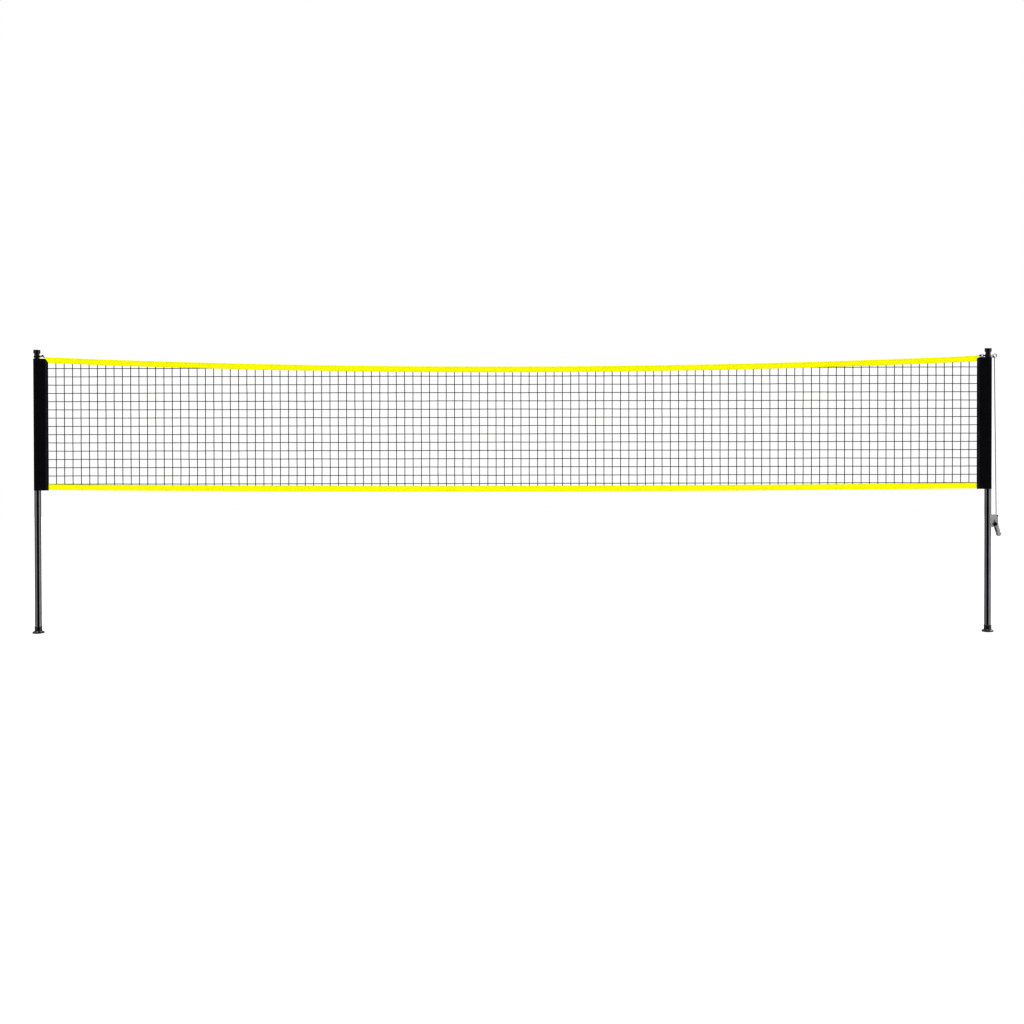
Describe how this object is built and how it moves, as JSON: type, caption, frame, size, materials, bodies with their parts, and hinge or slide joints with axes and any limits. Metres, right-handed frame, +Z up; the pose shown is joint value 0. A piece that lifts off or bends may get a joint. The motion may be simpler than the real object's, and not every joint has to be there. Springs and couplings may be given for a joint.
{
  "type": "volleyball net on poles",
  "caption": "Square mesh net with wide tapes and cloth sleeves, stretched between two footed round poles by a ratchet tensioner.",
  "frame": {"origin": "on the floor, midway between the two poles", "axes": "+X along the net towards the pole with the tensioner, +Y through the net away from the front, +Z up"},
  "size_m": [8.6044, 0.1, 2.515],
  "materials": {
    "pole_metal": "satin",
    "foot_rubber": "matte",
    "cap_plastic": "semi-gloss",
    "sleeve_cloth": "woven",
    "net_twine": "braided",
    "yellow_tape": "coated cloth",
    "black_rope": "braided",
    "tension_rope": "braided",
    "ring_steel": "zinc plated",
    "hook_steel": "black enamel",
    "plate_steel": "galvanised",
    "rivet_steel": "bright",
    "hub_plastic": "matte",
    "pawl_steel": "zinc plated",
    "spring_steel": "bright",
    "drum_steel": "dull",
    "wheel_steel": "zinc plated",
    "grip_metal": "grey powder coat"
  },
  "bodies": {
    "stand": {"left_pole_tube": "pole_metal", "right_pole_tube": "pole_metal", "left_foot": "foot_rubber", "right_foot": "foot_rubber", "left_cap": "cap_plastic", "right_cap": "cap_plastic", "left_sleeve": "sleeve_cloth", "right_sleeve": "sleeve_cloth", "vertical_twines": "net_twine", "level_twines": "net_twine", "top_tape": "yellow_tape", "bottom_tape": "yellow_tape", "head_cord": "black_rope", "foot_cord": "black_rope", "left_lashing": "black_rope", "guide_ring": "ring_steel", "guide_ring_nut": "ring_steel", "tension_cord": "tension_rope", "snap_hook": "hook_steel", "snap_gate_pin": "ring_steel", "tensioner_frame": "plate_steel", "tensioner_rivets": "rivet_steel", "handle_stop_pin": "rivet_steel", "cord_guide_pin": "hub_plastic", "lock_spring_seat": "rivet_steel", "lock_pawl_spring": "spring_steel"},
    "drum": {"drum_halves": "drum_steel", "ratchet_wheels": "wheel_steel", "hub_heads": "hub_plastic", "wound_cord": "tension_rope"},
    "handle": {"handle_sides": "plate_steel", "handle_grip": "grip_metal", "slider_rivets": "rivet_steel", "drive_pawl_spring": "spring_steel"},
    "lock_slide": {"lock_pawl": "pawl_steel"},
    "drive_slide": {"drive_pawl": "pawl_steel"},
    "hook_gate": {"snap_gate": "ring_steel"}
  },
  "joints": [
    {"name": "handle_swing", "type": "hinge", "parent": "stand", "child": "handle", "pos_m": [4.277, 0, 0.955], "axis": [0, -1, 0], "range_deg": [0, 120.03]},
    {"name": "drum_spin", "type": "hinge", "parent": "stand", "child": "drum", "pos_m": [4.277, 0, 0.955], "axis": [0, -1, 0], "continuous": true},
    {"name": "lock_pawl_slide", "type": "slide", "parent": "stand", "child": "lock_slide", "axis": [-0.1736, 0, 0.9848], "range_m": [0, 0.005], "stiffness_N_per_m": 300, "springref_m": -0.02, "deforming": ["lock_pawl_spring"]},
    {"name": "drive_pawl_slide", "type": "slide", "parent": "handle", "child": "drive_slide", "axis": [0.4226, 0, -0.9063], "range_m": [0, 0.005], "stiffness_N_per_m": 300, "springref_m": -0.02, "deforming": ["drive_pawl_spring"]},
    {"name": "hook_gate_turn", "type": "hinge", "parent": "stand", "child": "hook_gate", "pos_m": [4.17075, 0, 2.4595], "axis": [0, -1, 0], "range_deg": [0, 40], "stiffness_Nm_per_rad": 0.02, "springref_deg": -28.65}
  ]
}
